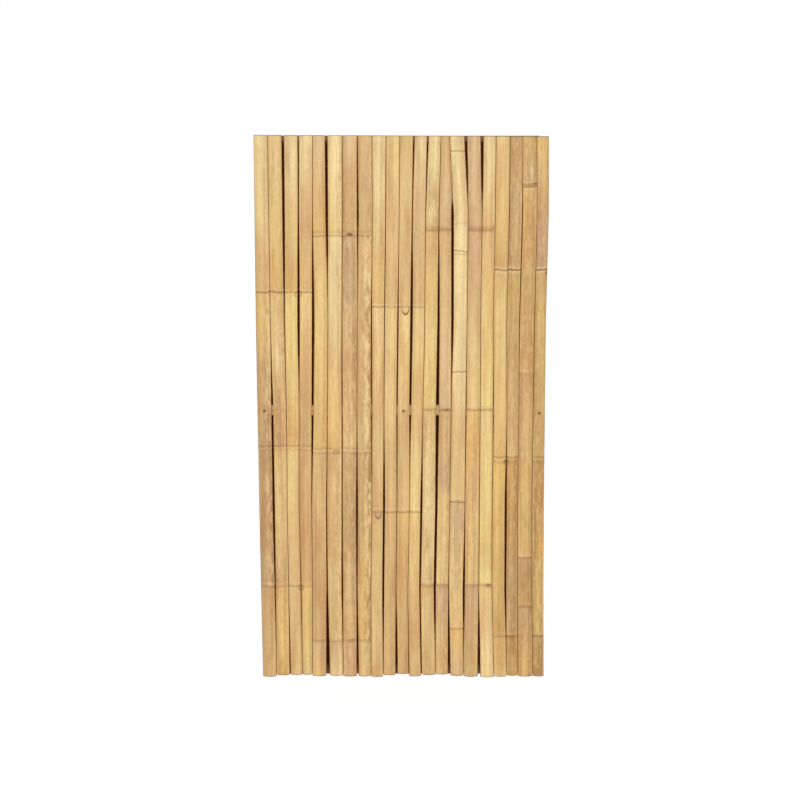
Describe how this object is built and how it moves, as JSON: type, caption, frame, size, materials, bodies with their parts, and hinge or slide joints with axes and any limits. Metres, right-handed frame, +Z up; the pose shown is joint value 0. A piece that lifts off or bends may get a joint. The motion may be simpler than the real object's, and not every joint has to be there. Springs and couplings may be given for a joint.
{
  "type": "bamboo fence panel",
  "caption": "Upright panel of split bamboo slats threaded edge to edge on galvanised wires, with a split bamboo rail nailed across the back, for fencing or cladding.",
  "frame": {"origin": "middle of the panel's box, at the level of its lowest foot", "axes": "+Z up along the slats, -Y out of the skin side that faces the viewer, +X to the viewer's right"},
  "size_m": [0.9526, 0.0362, 1.8],
  "materials": {
    "bamboo": "dried bamboo skin, satin",
    "rail_bamboo": "dried bamboo, dull",
    "galvanised_wire": "galvanised",
    "nail_steel": "dull, darkened"
  },
  "bodies": {
    "root": {"slat_01": "bamboo", "slat_02": "bamboo", "slat_03": "bamboo", "slat_04": "bamboo", "slat_05": "bamboo", "slat_06": "bamboo", "slat_07": "bamboo", "slat_08": "bamboo", "slat_09": "bamboo", "slat_10": "bamboo", "slat_11": "bamboo", "slat_12": "bamboo", "slat_13": "bamboo", "slat_14": "bamboo", "slat_15": "bamboo", "slat_16": "bamboo", "slat_17": "bamboo", "slat_18": "bamboo", "slat_19": "bamboo", "slat_20": "bamboo", "slat_21": "bamboo", "middle_rail": "rail_bamboo", "nails": "nail_steel", "foot_wire": "galvanised_wire", "lower_wire": "galvanised_wire", "upper_wire": "galvanised_wire", "head_wire": "galvanised_wire"}
  },
  "joints": []
}
